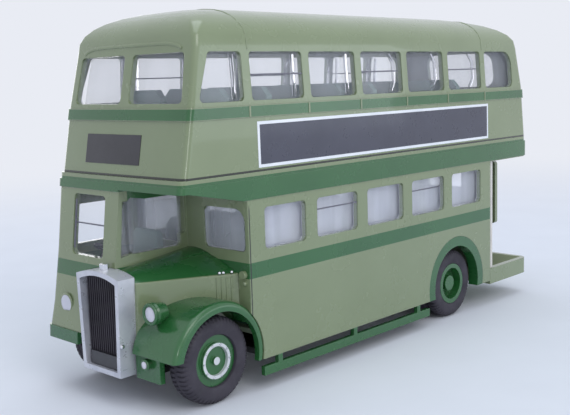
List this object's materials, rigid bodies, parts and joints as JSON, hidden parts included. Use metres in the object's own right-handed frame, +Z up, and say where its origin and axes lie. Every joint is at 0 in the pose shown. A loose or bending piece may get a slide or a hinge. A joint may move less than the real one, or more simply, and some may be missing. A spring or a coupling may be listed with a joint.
{
  "type": "scale model double-decker bus",
  "caption": "Die-cast scale model of a half-cab double-decker bus with an open rear platform, rolling on free axles.",
  "frame": {"origin": "on the ground, below the middle of the bus's length and width", "axes": "+X forward, +Y to the nearside (the bus's left), +Z up"},
  "size_m": [0.1058, 0.0318, 0.0609],
  "materials": {
    "body_green": "gloss",
    "dark_green": "gloss",
    "chrome": "polished",
    "grille_black": "matte",
    "clear_glazing": "gloss",
    "seat_green": "satin",
    "floor_green": "satin",
    "base_black": "satin",
    "tyre_rubber": "matte",
    "wheel_green": "gloss",
    "axle_steel": "brushed",
    "lamp_lens": "gloss",
    "lamp_red": "gloss",
    "plate_black": "satin",
    "pole_cream": "gloss"
  },
  "bodies": {
    "body": {"upper_deck_casting": "body_green", "upper_glazing": "clear_glazing", "upper_deck_floor": "floor_green", "upper_seats": "seat_green", "lower_deck_casting": "body_green", "rear_casting": "body_green", "lower_glazing": "clear_glazing", "cab_glazing": "clear_glazing", "lower_deck_floor": "floor_green", "rear_platform": "body_green", "lower_seats": "seat_green", "cab_seat": "seat_green", "steering_wheel": "grille_black", "staircase": "floor_green", "platform_pole": "pole_cream", "chassis_base": "base_black", "bonnet": "body_green", "radiator_shell": "chrome", "radiator_core": "grille_black", "radiator_cap": "chrome", "number_plate": "plate_black", "front_wing_nearside": "dark_green", "front_wing_offside": "dark_green", "rear_wing_nearside": "dark_green", "rear_wing_offside": "dark_green", "dumb_iron_panel": "dark_green", "life_rail_nearside": "dark_green", "life_rail_offside": "dark_green", "headlamp_nearside": "dark_green", "headlamp_offside": "lamp_lens", "fog_lamp": "lamp_lens", "side_lamp": "lamp_lens", "rear_lamps": "lamp_red"},
    "front_wheelset": {"front_axle": "axle_steel", "front_hub_nearside": "wheel_green", "front_tyre_nearside": "tyre_rubber", "front_hub_offside": "wheel_green", "front_tyre_offside": "tyre_rubber"},
    "rear_wheelset": {"rear_axle": "axle_steel", "rear_hub_nearside": "wheel_green", "rear_tyre_nearside": "tyre_rubber", "rear_hub_offside": "wheel_green", "rear_tyre_offside": "tyre_rubber"}
  },
  "joints": [
    {"name": "front_axle_roll", "type": "hinge", "parent": "body", "child": "front_wheelset", "pos_m": [0.0417, 0, 0.0069], "axis": [0, 1, 0], "continuous": true},
    {"name": "rear_axle_roll", "type": "hinge", "parent": "body", "child": "rear_wheelset", "pos_m": [-0.0235, 0, 0.0069], "axis": [0, 1, 0], "continuous": true}
  ]
}
